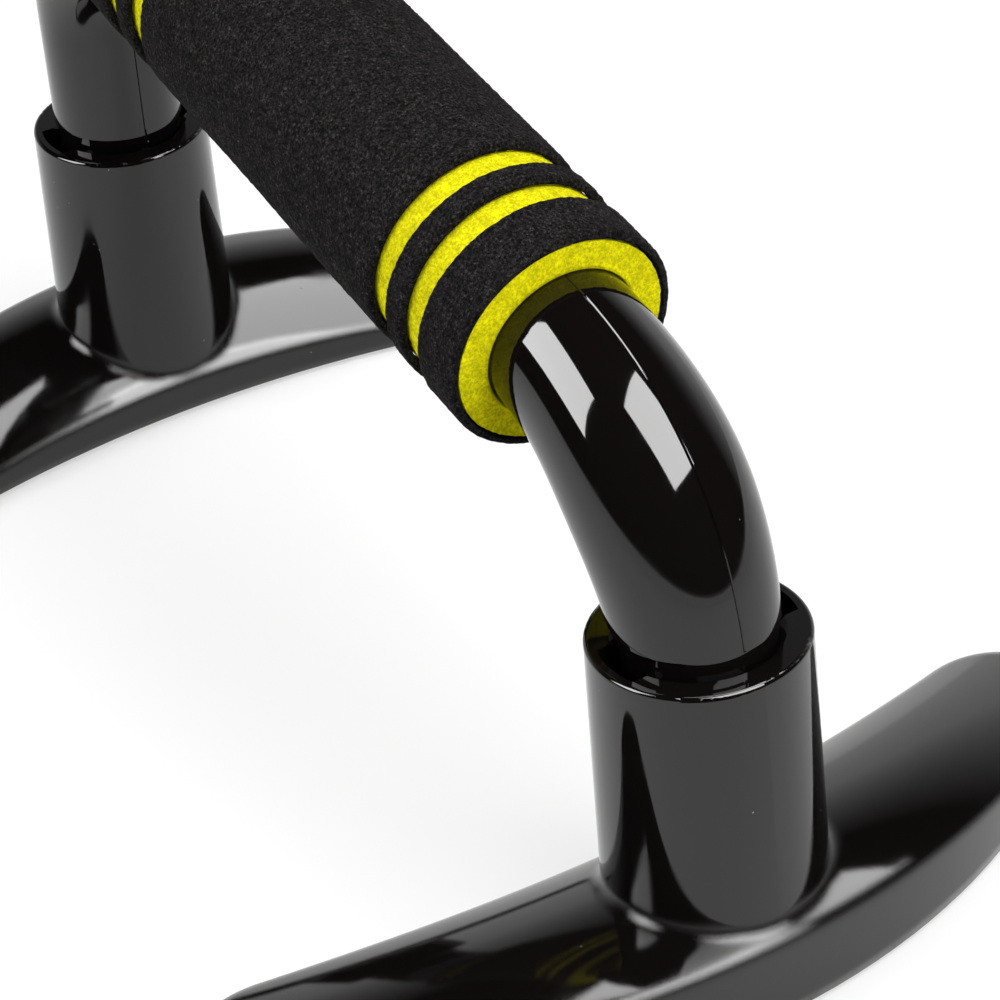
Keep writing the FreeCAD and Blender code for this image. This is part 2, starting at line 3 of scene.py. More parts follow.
import bmesh
import bpy
from bpy.props import FloatProperty, FloatVectorProperty, IntProperty, PointerProperty
from mathutils import Matrix, Vector


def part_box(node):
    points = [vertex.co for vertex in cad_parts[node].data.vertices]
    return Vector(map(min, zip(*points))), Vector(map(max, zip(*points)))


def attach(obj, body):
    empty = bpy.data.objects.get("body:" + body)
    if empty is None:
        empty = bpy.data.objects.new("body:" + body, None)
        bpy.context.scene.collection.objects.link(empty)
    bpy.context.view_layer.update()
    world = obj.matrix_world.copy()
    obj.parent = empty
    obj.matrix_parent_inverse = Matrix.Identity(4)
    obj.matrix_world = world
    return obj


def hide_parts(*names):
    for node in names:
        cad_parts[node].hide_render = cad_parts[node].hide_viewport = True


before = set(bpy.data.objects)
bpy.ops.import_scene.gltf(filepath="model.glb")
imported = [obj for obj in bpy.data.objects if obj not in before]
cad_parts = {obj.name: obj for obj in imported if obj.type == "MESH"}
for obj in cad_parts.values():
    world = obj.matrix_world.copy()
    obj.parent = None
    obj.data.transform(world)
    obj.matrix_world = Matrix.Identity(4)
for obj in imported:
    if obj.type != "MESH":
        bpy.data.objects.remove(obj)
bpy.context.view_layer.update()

bl_info = {
    "name": "Push-up Bar",
    "version": (1, 0, 0),
    "blender": (4, 5, 0),
    "location": "3D View > Sidebar > Push-up Bar",
    "description": "Turns the foam grip, finishes the moulded parts and sets the studio of a push-up bar",
    "category": "Object",
}

HANDLE_BODY = "handle"

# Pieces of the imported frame, by finish
HANDLE_NODES = ("handle_shell_left", "handle_shell_right", "spigot_front", "spigot_rear")
FOOT_NODES = ("foot_front", "foot_rear")
PAD_NODES = ("pad_front_left", "pad_front_right", "pad_rear_left", "pad_rear_right")
STEEL_NODES = ("handle_screws", "spigot_pin_front", "spigot_pin_rear")
BAND_NODES = (
    "grip_main_band", "grip_ring_front", "grip_ring_rear", "grip_end_band_front", "grip_end_band_rear")


def node_centre(name):
    low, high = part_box(name)
    return (low + high) / 2


# The grip's own frame: its middle, the way to its low front end, and square to that, upwards
GRIP_CENTRE = node_centre("grip_main_band")
GRIP_AXIS = (node_centre("grip_end_band_front") - node_centre("grip_end_band_rear")).normalized()
GRIP_UP = GRIP_AXIS.cross(Vector((0, 1, 0))).normalized()

# Bends of the handle: start along the grip from its middle, radius of the centre line, turn in radians
BENDS = ((0.06577, 0.041, math.radians(77)), (-0.06542, 0.035, math.radians(97)))
BEND_SWELL = 0.0012             # how much thicker the tube is in the middle of a bend
BEND_INSIDE = 0.0125            # just inside the tube's outer surface
BEND_SKIN = 0.0001              # depth over which the bend's exact normal fades in there
BEND_FADE = 0.01                # angle over which it fades to either side of a bend's ends, in radians
BEND_LIKENESS = (0.92, 0.96)    # cosines between the mesh's normal and the exact one where it fades in

# Soft creases of the feet's bases
CREASE_SAMPLES = 6
CREASE_FADE = 1.2               # height where the softness ends, in base heights

# Gloss plastic. The first of a pair is where something begins to show, the second where it shows in full
SMUDGE_SIZE = 0.022
SMUDGE_NOISE = (0.52, 0.72)
HANDLE_SPECKS = 0.0045          # spacing of the places where a speck of dust can lie
FOOT_SPECKS = 0.0038
SPECK_EDGE = (0.045, 0.03)      # distance from a speck's middle, in spacings
SPECK_CHANCE = (0.72, 0.80)     # random number of a place with a speck
DUST_ROUGHNESS = 0.6            # added by the dust

# Foam
CORE_FUZZ = 0.3
BAND_FUZZ = 0.8
PORE_NOISE = (0.41, 0.56)       # from a pore's dark to the foam's own colour
FLECK_NOISE = (0.58, 0.70)      # from that to a fleck's pale
CLUMP_NOISE = (0.3, 0.7)        # from the darkest clumps to the brightest
CLUMP_TONE = 0.6                # how far these lie from the mean tone at a fuzz of one
CLUMP_CELLS = 4                 # size of a clump, in cells
FOAM_ROUGHNESS = 0.95
FOAM_SPECULAR = 0.06

# Rubber and steel, from the first look of a pair to the second
WORN_TONE = 2.2                 # brightness of worn rubber beside new
RUBBER_ROUGHNESS = (0.62, 0.85)
DULL_TONE = 0.7                 # brightness of dull zinc beside bright
STEEL_ROUGHNESS = (0.24, 0.42)

# Turning of the foam
CORNER_REACH = 1e-5             # how near its place a corner's vertex is looked for
ROUNDING_SEGMENTS = 6
MERGE_DISTANCE = 1e-6
GRAIN_GROUP = "outside"         # vertex group of what the grain moves


class GripFoam(bpy.types.PropertyGroup):
    """Sizes and colours of the foam grip."""

    band_edge: FloatProperty(
        name="Band edge", description="Rounding of the bands' shoulders",
        default=0.0010, unit="LENGTH", precision=5)
    face_edge: FloatProperty(
        name="Face edge", description="Rounding of the core's end faces",
        default=0.0004, unit="LENGTH", precision=5)
    mesh_step: FloatProperty(
        name="Mesh step", description="Longest edge along the outline before it is spun",
        default=0.0006, unit="LENGTH", precision=5)
    spin_steps: IntProperty(
        name="Spin steps", description="Steps of the outline's turn about the grip's axis", default=288)
    grain_size: FloatProperty(
        name="Grain size", description="Size of the foam's raised grain",
        default=0.0008, unit="LENGTH", precision=5)
    grain_depth: FloatProperty(
        name="Grain depth", description="Height of the foam's raised grain",
        default=0.0003, unit="LENGTH", precision=5)
    swell_size: FloatProperty(
        name="Swell size", description="Size of the slow unevenness of the cut foam",
        default=0.014, unit="LENGTH", precision=5)
    swell_depth: FloatProperty(
        name="Swell depth", description="Height of the slow unevenness of the cut foam",
        default=0.0003, unit="LENGTH", precision=5)
    cell_size: FloatProperty(
        name="Cell size", description="Size of the cut cells in the foam's colour",
        default=0.0005, unit="LENGTH", precision=5)
    skin_colour: FloatVectorProperty(
        name="Skin colour", description="Dark foam of the bands",
        default=(0.0160, 0.0142, 0.0142), subtype="COLOR", min=0, max=1)
    pore_colour: FloatVectorProperty(
        name="Pore colour", description="Shaded pores of the dark foam",
        default=(0.0008, 0.0007, 0.0007), subtype="COLOR", min=0, max=1)
    fleck_colour: FloatVectorProperty(
        name="Fleck colour", description="Pale flecks on the dark foam's cut cells",
        default=(0.072, 0.065, 0.065), subtype="COLOR", min=0, max=1)
    core_colour: FloatVectorProperty(
        name="Core colour", description="Bright foam of the core",
        default=(0.80, 0.745, 0.003), subtype="COLOR", min=0, max=1)
    core_pore_colour: FloatVectorProperty(
        name="Core pore colour", description="Shaded pores of the bright foam",
        default=(0.55, 0.51, 0.003), subtype="COLOR", min=0, max=1)


class MouldedParts(bpy.types.PropertyGroup):
    """Colours and finish of the plastic, rubber and steel."""

    plastic_colour: FloatVectorProperty(
        name="Plastic colour", description="Gloss plastic of the handle and the feet",
        default=(0.0040, 0.0031, 0.0030), subtype="COLOR", min=0, max=1)
    dust_colour: FloatVectorProperty(
        name="Dust colour", description="Specks of dust on the gloss plastic",
        default=(0.22, 0.21, 0.20), subtype="COLOR", min=0, max=1)
    gloss_roughness: FloatProperty(
        name="Gloss roughness", description="Roughness of the clean gloss plastic",
        default=0.045, min=0, max=1, subtype="FACTOR")
    smudge_roughness: FloatProperty(
        name="Smudge roughness", description="Roughness where the gloss plastic is smudged",
        default=0.16, min=0, max=1, subtype="FACTOR")
    index: FloatProperty(
        name="Index", description="Refractive index of the gloss plastic", default=1.5, min=1, max=2)
    peel_size: FloatProperty(
        name="Peel size", description="Size of the faint waves in the moulded gloss",
        default=0.003, unit="LENGTH", precision=5)
    crease_radius: FloatProperty(
        name="Crease radius", description="Soft rounding of the creases of the feet's bases",
        default=0.003, unit="LENGTH", precision=5)
    base_height: FloatProperty(
        name="Base height", description="Top of the feet's bases above the floor",
        default=0.028, unit="LENGTH", precision=5)
    rubber_colour: FloatVectorProperty(
        name="Rubber colour", description="Rubber of the pads under the feet",
        default=(0.020, 0.020, 0.021), subtype="COLOR", min=0, max=1)
    steel_colour: FloatVectorProperty(
        name="Steel colour", description="Zinc plate of the screws and pins",
        default=(0.55, 0.55, 0.56), subtype="COLOR", min=0, max=1)


class Studio(bpy.types.PropertyGroup):
    """Camera, lamps and floor."""

    camera_azimuth: FloatProperty(
        name="Camera azimuth", description="Turn of the camera from the handle's front end",
        default=math.radians(28.31), subtype="ANGLE")
    camera_elevation: FloatProperty(
        name="Camera elevation", description="Height angle of the camera",
        default=math.radians(35.11), subtype="ANGLE")
    camera_roll: FloatProperty(
        name="Camera roll", description="Tilt of the camera about its own axis",
        default=math.radians(-4.79), subtype="ANGLE")
    camera_distance: FloatProperty(
        name="Camera distance", description="From the camera to the point it looks at",
        default=0.42326, unit="LENGTH", precision=5)
    camera_target: FloatVectorProperty(
        name="Camera target", description="Point that the camera looks at",
        default=(0.08121, -0.02004, 0.08100), subtype="XYZ", unit="LENGTH", precision=5)
    camera_lens: FloatProperty(
        name="Camera lens", description="Focal length in millimetres on a 36 mm frame", default=103.36)
    lamp_radiance: FloatProperty(
        name="Lamp radiance", description="Brightness of the softboxes on matt surfaces", default=5.4)
    gloss_radiance: FloatProperty(
        name="Gloss radiance", description="Brightness of the softboxes in the gloss", default=14.0)
    fill: FloatProperty(
        name="Fill", description="Even light from the room on matt surfaces", default=0.25)
    floor_radius: FloatProperty(
        name="Floor radius", description="Reach of the white floor", default=3.0, unit="LENGTH")
    floor_white: FloatProperty(
        name="Floor white", description="Share of the floor's white that shadows leave alone",
        default=0.55, min=0, max=1, subtype="FACTOR")


def new_tree(owner):
    """The emptied node tree of a material or a world."""
    owner.use_nodes = True
    tree = owner.node_tree
    tree.nodes.clear()
    return tree


def add(tree, kind, inputs=None, **settings):
    """Adds a node with its settings. Its inputs, by name or number, take sockets or values."""
    node = tree.nodes.new(kind)
    for name, value in settings.items():
        setattr(node, name, value)
    for name, value in (inputs or {}).items():
        if isinstance(value, bpy.types.NodeSocket):
            tree.links.new(value, node.inputs[name])
        else:
            node.inputs[name].default_value = value
    return node


def rgba(colour):
    return (*colour, 1.0)


def object_place(tree):
    return add(tree, "ShaderNodeTexCoord").outputs["Object"]


def noise(tree, place, size, detail=2.0, roughness=0.5):
    """Noise whose grains are about one size across."""
    inputs = {"Vector": place, "Scale": 1 / size, "Detail": detail, "Roughness": roughness}
    return add(tree, "ShaderNodeTexNoise", inputs).outputs["Fac"]


def stretch(tree, value, low, high, to_low=0.0, to_high=1.0):
    """Maps a range of values to another, and holds them within it."""
    inputs = {"Value": value, "From Min": low, "From Max": high, "To Min": to_low, "To Max": to_high}
    return add(tree, "ShaderNodeMapRange", inputs).outputs[0]


# The two inputs and the result of a Mix node, by its type of data
MIX_SOCKETS = {"FLOAT": (2, 3, 0), "VECTOR": (4, 5, 1), "RGBA": (6, 7, 2)}


def mix(tree, data, share, first, second):
    """Mixes two numbers, vectors or colours, each a socket or a value."""
    from_first, from_second, result = MIX_SOCKETS[data]
    inputs = {0: share, from_first: first, from_second: second}
    return add(tree, "ShaderNodeMix", inputs, data_type=data).outputs[result]


def bump(tree, height, distance, strength, under=None):
    """Normal of a surface raised by a height, over another normal when one is given."""
    inputs = {"Height": height, "Distance": distance, "Strength": strength}
    if under is not None:
        inputs["Normal"] = under
    return add(tree, "ShaderNodeBump", inputs).outputs["Normal"]


def vector(tree, operation, first, second=(0, 0, 0)):
    """Result of a vector operation. The second input is a number where the operation scales."""
    inputs = {0: first, "Scale" if operation == "SCALE" else 1: second}
    node = add(tree, "ShaderNodeVectorMath", inputs, operation=operation)
    return node.outputs["Value" if operation in ("DOT_PRODUCT", "LENGTH") else "Vector"]


def number(tree, operation, *inputs, clamp=False):
    """Result of an operation on numbers, held between zero and one where it is clamped."""
    node = add(tree, "ShaderNodeMath", dict(enumerate(inputs)), operation=operation, use_clamp=clamp)
    return node.outputs[0]


def finish_shader(tree, inputs):
    """Ends a material's tree with its shader."""
    shader = add(tree, "ShaderNodeBsdfPrincipled", inputs)
    add(tree, "ShaderNodeOutputMaterial", {"Surface": shader.outputs[0]})


def bend_normal(tree, place, start, radius, turn, normal):
    """The exact normal of a swelling bend in place of the mesh's own, on the outside of that bend only."""
    end = math.copysign(1, start)
    offset = vector(tree, "SUBTRACT", place, grip_point(start, -radius))
    flat = vector(tree, "MULTIPLY", offset, (1, 0, 1))
    arm = vector(tree, "NORMALIZE", flat)
    spoke = vector(tree, "SUBTRACT", offset, vector(tree, "SCALE", arm, radius))
    fore = vector(tree, "DOT_PRODUCT", arm, GRIP_AXIS * end)
    angle = number(tree, "ARCTAN2", fore, vector(tree, "DOT_PRODUCT", arm, GRIP_UP))
    wave = number(tree, "SINE", number(tree, "MULTIPLY", angle, math.tau / turn))
    rise = number(tree, "MULTIPLY", wave, BEND_SWELL * math.pi / turn)
    slope = number(tree, "DIVIDE", rise, vector(tree, "LENGTH", flat))
    ahead = vector(tree, "SCALE", vector(tree, "CROSS_PRODUCT", (0, end, 0), arm), slope)
    exact = vector(tree, "NORMALIZE", vector(tree, "SUBTRACT", vector(tree, "NORMALIZE", spoke), ahead))
    tests = (
        stretch(tree, angle, -BEND_FADE, BEND_FADE),
        stretch(tree, angle, turn + BEND_FADE, turn - BEND_FADE),
        stretch(tree, vector(tree, "LENGTH", spoke), BEND_INSIDE - BEND_SKIN, BEND_INSIDE),
        stretch(tree, vector(tree, "DOT_PRODUCT", exact, normal), *BEND_LIKENESS),
    )
    share = tests[0]
    for test in tests[1:]:
        share = number(tree, "MULTIPLY", share, test)
    return mix(tree, "VECTOR", share, normal, exact)


def soft_creases(tree, place, radius, below, normal):
    """Rounds the creases of a foot's base in its shading, and leaves the socket's rim crisp."""
    rounded = add(tree, "ShaderNodeBevel", {"Radius": radius}, samples=CREASE_SAMPLES)
    height = add(tree, "ShaderNodeSeparateXYZ", {"Vector": place}).outputs["Z"]
    share = stretch(tree, height, CREASE_FADE * below, below)
    return mix(tree, "VECTOR", share, normal, rounded.outputs["Normal"])


def gloss_plastic(name, parts, speck_spacing, bends=(), crease=0.0):
    """Black gloss moulding with faint waves, smudges and specks of dust."""
    material = bpy.data.materials.new(name)
    tree = new_tree(material)
    place = object_place(tree)
    smudge = stretch(tree, noise(tree, place, SMUDGE_SIZE, detail=5, roughness=0.6), *SMUDGE_NOISE)
    specks = add(tree, "ShaderNodeTexVoronoi", {"Vector": place, "Scale": 1 / speck_spacing}).outputs
    chance = add(tree, "ShaderNodeSeparateColor", {"Color": specks["Color"]}).outputs["Red"]
    near = stretch(tree, specks["Distance"], *SPECK_EDGE)
    dust = number(tree, "MULTIPLY", near, stretch(tree, chance, *SPECK_CHANCE))
    colour = mix(tree, "RGBA", dust, rgba(parts.plastic_colour), rgba(parts.dust_colour))
    smudged = stretch(tree, smudge, 0, 1, parts.gloss_roughness, parts.smudge_roughness)
    rough = number(tree, "MULTIPLY_ADD", dust, DUST_ROUGHNESS, smudged, clamp=True)
    normal = add(tree, "ShaderNodeNewGeometry").outputs["Normal"]
    for start, radius, turn in bends:
        normal = bend_normal(tree, place, start, radius, turn, normal)
    if crease:
        normal = soft_creases(tree, place, crease, parts.base_height, normal)
    waves = noise(tree, place, parts.peel_size, detail=1)
    normal = bump(tree, waves, distance=0.0002, strength=0.012, under=normal)
    normal = bump(tree, dust, distance=0.0001, strength=0.5, under=normal)
    finish_shader(tree, {"Base Color": colour, "Roughness": rough, "IOR": parts.index, "Normal": normal})
    return material


def cut_foam(name, base, pores, flecks, cell_size, fuzz):
    """Matt closed-cell foam: shaded pores, pale cut cells and a fuzzy grain."""
    material = bpy.data.materials.new(name)
    tree = new_tree(material)
    place = object_place(tree)
    cells = noise(tree, place, cell_size, detail=4, roughness=0.8)
    clumps = noise(tree, place, cell_size * CLUMP_CELLS, detail=3, roughness=0.6)
    body = mix(tree, "RGBA", stretch(tree, cells, *PORE_NOISE), rgba(pores), rgba(base))
    flecked = mix(tree, "RGBA", stretch(tree, cells, *FLECK_NOISE), body, rgba(flecks))
    uneven = CLUMP_TONE * fuzz
    tone = stretch(tree, clumps, *CLUMP_NOISE, 1 - uneven, 1 + uneven)
    coarse = bump(tree, clumps, distance=0.0006, strength=fuzz / 2)
    fine = bump(tree, cells, distance=0.0003, strength=fuzz, under=coarse)
    finish_shader(tree, {
        "Base Color": vector(tree, "SCALE", flecked, tone),
        "Roughness": FOAM_ROUGHNESS,
        "Specular IOR Level": FOAM_SPECULAR,
        "Normal": fine,
    })
    return material


def pad_rubber(parts):
    """Matt rubber with a fine moulded grain."""
    material = bpy.data.materials.new("pad_rubber_finish")
    tree = new_tree(material)
    place = object_place(tree)
    grain = noise(tree, place, size=0.0005, detail=3, roughness=0.6)
    worn = stretch(tree, noise(tree, place, size=0.008, detail=4, roughness=0.6), low=0.4, high=0.7)
    pale = [channel * WORN_TONE for channel in parts.rubber_colour]
    finish_shader(tree, {
        "Base Color": mix(tree, "RGBA", worn, rgba(parts.rubber_colour), rgba(pale)),
        "Roughness": stretch(tree, worn, 0, 1, *RUBBER_ROUGHNESS),
        "Normal": bump(tree, grain, distance=0.0002, strength=0.4),
    })
    return material


def zinc_steel(parts):
    """Zinc-plated steel with fine turning marks."""
    material = bpy.data.materials.new("fastener_steel_finish")
    tree = new_tree(material)
    place = object_place(tree)
    spangle = noise(tree, place, size=0.0016, detail=4, roughness=0.6)
    marks = noise(tree, place, size=0.0003)
    bright = stretch(tree, spangle, low=0.35, high=0.65)
    dull = [channel * DULL_TONE for channel in parts.steel_colour]
    finish_shader(tree, {
        "Base Color": mix(tree, "RGBA", bright, rgba(dull), rgba(parts.steel_colour)),
        "Metallic": 1.0,
        "Roughness": stretch(tree, spangle, 0.3, 0.7, *STEEL_ROUGHNESS),
        "Normal": bump(tree, marks, distance=0.00005, strength=0.3),
    })
    return material


def give_finish(names, material):
    """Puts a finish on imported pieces, whose meshes stay as they are."""
    for name in names:
        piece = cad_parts[name]
        piece.data.materials.clear()
        piece.data.materials.append(material)


def grip_point(along, out):
    return GRIP_CENTRE + GRIP_AXIS * along + GRIP_UP * out


def distance_from_axis(point):
    arm = point - GRIP_CENTRE
    return (arm - GRIP_AXIS * arm.dot(GRIP_AXIS)).length


def ring_sizes(name):
    """Start and stop along the grip, bore and outer radius of a packed foam solid."""
    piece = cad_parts[name]
    points = [piece.matrix_world @ vertex.co for vertex in piece.data.vertices]
    along = [(point - GRIP_CENTRE).dot(GRIP_AXIS) for point in points]
    out = [distance_from_axis(point) for point in points]
    return min(along), max(along), min(out), max(out)


def pick(bm, wanted):
    """Selects the vertices that pass a test, and the edges between them."""
    for vertex in bm.verts:
        vertex.select = wanted(vertex)
    bm.select_flush_mode()


def draw_outline(outline):
    """Draws a closed outline of (along, out, rounding) corners in the grip's upright plane."""
    points = [grip_point(along, out) for along, out, _ in outline]
    bpy.ops.mesh.select_all(action="SELECT")
    bpy.ops.mesh.merge(type="CENTER")
    bpy.ops.transform.translate(value=points[0])
    for last, point in zip(points, points[1:]):
        bpy.ops.mesh.extrude_region_move(TRANSFORM_OT_translate={"value": point - last})
    bpy.ops.mesh.select_all(action="SELECT")
    bpy.ops.mesh.edge_face_add()
    return points


def round_corners(mesh, outline, points):
    """Rounds the outline's corners, each by its own radius."""
    for point, (_, _, rounding) in zip(points, outline):
        if rounding:
            bm = bmesh.from_edit_mesh(mesh)
            pick(bm, lambda vertex: (vertex.co - point).length < CORNER_REACH)
            bmesh.update_edit_mesh(mesh)
            bpy.ops.mesh.bevel(offset=rounding, segments=ROUNDING_SEGMENTS, affect="VERTICES")


def divide_long_edges(mesh, step, inside):
    """Halves the outline's edges until none outside the bore is longer than the step."""
    while True:
        bm = bmesh.from_edit_mesh(mesh)
        long_edges = 0
        for vertex in bm.verts:
            vertex.select = False
        for edge in bm.edges:
            middle = (edge.verts[0].co + edge.verts[1].co) / 2
            edge.select = edge.calc_length() > step and distance_from_axis(middle) > inside
            long_edges += edge.select
        bmesh.update_edit_mesh(mesh)
        if not long_edges:
            break
        bpy.ops.mesh.subdivide(number_cuts=1)


def roughen(piece, size, depth, sunk):
    """Gives the outside of a piece a cloudy grain, half raised and half sunk or all of it sunk."""
    texture = bpy.data.textures.new("grain", "CLOUDS")
    texture.noise_scale = size
    texture.noise_depth = 1
    modifier = piece.modifiers.new("grain", "DISPLACE")
    modifier.texture = texture
    modifier.texture_coords = "LOCAL"
    modifier.strength = depth
    modifier.mid_level = 1.0 if sunk else 0.5
    modifier.vertex_group = GRAIN_GROUP
    bpy.ops.object.modifier_apply(modifier=modifier.name)
    bpy.data.textures.remove(texture)


def spin_foam(node, edge, foam, sunk):
    """Spins the outline of a packed foam solid about the grip's axis into one closed ring."""
    name = node.replace("grip", "foam")
    low, high, bore, radius = ring_sizes(node)
    outline = [(low, bore, 0), (low, radius, edge), (high, radius, edge), (high, bore, 0)]
    inside = bore + foam.mesh_step / 2
    bpy.ops.object.select_all(action="DESELECT")
    bpy.ops.mesh.primitive_plane_add(size=2 * radius)
    piece = bpy.context.object
    piece.name = piece.data.name = name
    bpy.ops.object.mode_set(mode="EDIT")
    points = draw_outline(outline)
    round_corners(piece.data, outline, points)
    bpy.ops.mesh.select_all(action="SELECT")
    bpy.ops.mesh.delete(type="ONLY_FACE")
    bpy.ops.mesh.select_mode(type="EDGE")
    divide_long_edges(piece.data, foam.mesh_step, inside)
    bpy.ops.mesh.select_all(action="SELECT")
    bpy.ops.mesh.spin(steps=foam.spin_steps, angle=math.tau, center=GRIP_CENTRE, axis=GRIP_AXIS)
    bpy.ops.mesh.select_all(action="SELECT")
    bpy.ops.mesh.remove_doubles(threshold=MERGE_DISTANCE)
    bpy.ops.mesh.normals_make_consistent(inside=False)
    bpy.ops.mesh.select_mode(type="VERT")
    bpy.ops.object.mode_set(mode="OBJECT")
    if len(piece.data.polygons) < foam.spin_steps:
        raise RuntimeError(f"{name} was not spun")
    outside = [vertex.index for vertex in piece.data.vertices if distance_from_axis(vertex.co) > inside]
    piece.vertex_groups.new(name=GRAIN_GROUP).add(outside, 1.0, "REPLACE")
    roughen(piece, foam.swell_size, foam.swell_depth, sunk)
    roughen(piece, foam.grain_size, foam.grain_depth, sunk)
    piece.vertex_groups.clear()
    bpy.ops.object.shade_smooth()
    return piece


def declare_foam(piece, node, material):
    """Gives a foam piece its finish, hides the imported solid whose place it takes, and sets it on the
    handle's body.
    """
    piece.data.materials.clear()
    piece.data.materials.append(material)
    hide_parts(node)
    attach(piece, HANDLE_BODY)


class BarOperator:
    """What the bar's operators share."""

    bl_options = {"REGISTER", "UNDO"}


class PUSHUP_OT_plastic(BarOperator, bpy.types.Operator):
    """Finish the handle shells, the spigots and the feet in gloss plastic"""

    bl_idname = "push_up_bar.plastic"
    bl_label = "Gloss Plastic"

    def execute(self, context):
        parts = context.scene.bar_parts
        handle_finish = gloss_plastic("handle_plastic_finish", parts, HANDLE_SPECKS, bends=BENDS)
        foot_finish = gloss_plastic("foot_plastic_finish", parts, FOOT_SPECKS, crease=parts.crease_radius)
        give_finish(HANDLE_NODES, handle_finish)
        give_finish(FOOT_NODES, foot_finish)
        return {"FINISHED"}


class PUSHUP_OT_pads(BarOperator, bpy.types.Operator):
    """Finish the pads under the feet in rubber"""

    bl_idname = "push_up_bar.pads"
    bl_label = "Rubber Pads"

    def execute(self, context):
        give_finish(PAD_NODES, pad_rubber(context.scene.bar_parts))
        return {"FINISHED"}


class PUSHUP_OT_fasteners(BarOperator, bpy.types.Operator):
    """Finish the screws and the cross pins in zinc-plated steel"""

    bl_idname = "push_up_bar.fasteners"
    bl_label = "Steel Fasteners"

    def execute(self, context):
        give_finish(STEEL_NODES, zinc_steel(context.scene.bar_parts))
        return {"FINISHED"}


class PUSHUP_OT_foam_core(BarOperator, bpy.types.Operator):
    """Turn the grip's bright core"""

    bl_idname = "push_up_bar.foam_core"
    bl_label = "Foam Core"

    def execute(self, context):
        foam = context.scene.bar_foam
        material = cut_foam(
            "core_foam_finish", foam.core_colour, foam.core_pore_colour, foam.core_colour,
            foam.cell_size, CORE_FUZZ)
        piece = spin_foam("grip_core", foam.face_edge, foam, sunk=True)
        declare_foam(piece, "grip_core", material)
        return {"FINISHED"}


class PUSHUP_OT_foam_bands(BarOperator, bpy.types.Operator):
    """Turn the dark bands and rings round the core"""

    bl_idname = "push_up_bar.foam_bands"
    bl_label = "Foam Bands"

    def execute(self, context):
        foam = context.scene.bar_foam
        material = cut_foam(
            "skin_foam_finish", foam.skin_colour, foam.pore_colour, foam.fleck_colour,
            foam.cell_size, BAND_FUZZ)
        for node in BAND_NODES:
            piece = spin_foam(node, foam.band_edge, foam, sunk=False)
            declare_foam(piece, node, material)
        return {"FINISHED"}


def direction(azimuth, elevation):
    """Way of unit length at an azimuth from +X and an elevation, both in radians."""
    flat = math.cos(elevation)
    return Vector((flat * math.cos(azimuth), flat * math.sin(azimuth), math.sin(elevation)))


def facing(place, target):
    """Pose of a lamp at a place, with its face towards the target."""
    turn = (place - target).to_track_quat("Z", "Y").to_matrix().to_4x4()
    return Matrix.Translation(place) @ turn


# Softboxes: azimuth and elevation in degrees, seen from the front elbow, width and height at a metre
# from it, and brightness beside the others
SOFTBOXES = {
    "left": (-113.5, 37.2, 0.49, 0.60, 1.0),
    "front": (16.0, 60.6, 0.70, 0.74, 1.0),
    "top": (120.4, 60.8, 0.60, 0.50, 0.6),
    "low": (12.0, 5.0, 0.56, 0.34, 1.15),
}
MATT_ONLY = ("low",)            # softboxes that the gloss doesn't mirror
FEET_ONLY = ("top",)            # softboxes that only the feet's gloss mirrors
GLOSS_DISTANCE = 1.0
MATT_DISTANCE = 1.06            # behind the lamps for the gloss, so that neither hides the other

# Floor
FLOOR_SIDES = 96
FLOOR_TONE = 0.8                # grey of the floor as matt surfaces get its light
SHADOW_FADE = (0.4, 1.1)        # distances from the origin over which the shadow on it fades

# Room in the gloss, by the way that a mirrored ray goes
WALL_AZIMUTH = math.radians(150)
WALL_SIDE = (0.3, 0.75)         # cosines to the wall's middle, from beside it to its full tone
WALL_TOP = (0.62, 0.25)         # heights of the way, from above the wall to its full tone
GROUND_EDGE = (0.0, -0.05)      # heights of the way, from the horizon to the ground's full tone

# Camera
SENSOR_WIDTH = 36
CLIP_START = 0.01


def add_softbox(name, studio, on_gloss):
    """One softbox, as it lights either the matt surfaces or the gloss."""
    azimuth, elevation, width, height, share = SOFTBOXES[name]
    distance = GLOSS_DISTANCE if on_gloss else MATT_DISTANCE
    target = Vector((node_centre("spigot_front").x, 0, GRIP_CENTRE.z))
    place = target + direction(math.radians(azimuth), math.radians(elevation)) * distance
    bpy.ops.object.light_add(type="AREA")
    lamp = bpy.context.object
    lamp.name = f"softbox_{name}_{'gloss' if on_gloss else 'matt'}"
    lamp.data.shape = "RECTANGLE"
    lamp.data.size = width * distance
    lamp.data.size_y = height * distance
    radiance = studio.gloss_radiance if on_gloss else studio.lamp_radiance
    lamp.data.energy = share * radiance * math.pi * lamp.data.size * lamp.data.size_y
    lamp.matrix_world = facing(place, target)
    lamp.visible_diffuse = not on_gloss
    lamp.visible_glossy = on_gloss
    lamp.visible_camera = False
    if on_gloss and name in FEET_ONLY:
        lit = bpy.data.collections.new(f"{lamp.name}_lit")
        for node in FOOT_NODES:
            lit.objects.link(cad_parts[node])
        lamp.light_linking.receiver_collection = lit


def seen_or_mirrored(tree):
    """One for rays from the camera and for mirrored or passed rays, else zero."""
    rays = add(tree, "ShaderNodeLightPath").outputs
    seen = number(tree, "MAXIMUM", rays["Is Camera Ray"], rays["Is Glossy Ray"])
    return number(tree, "MAXIMUM", seen, rays["Is Transmission Ray"])


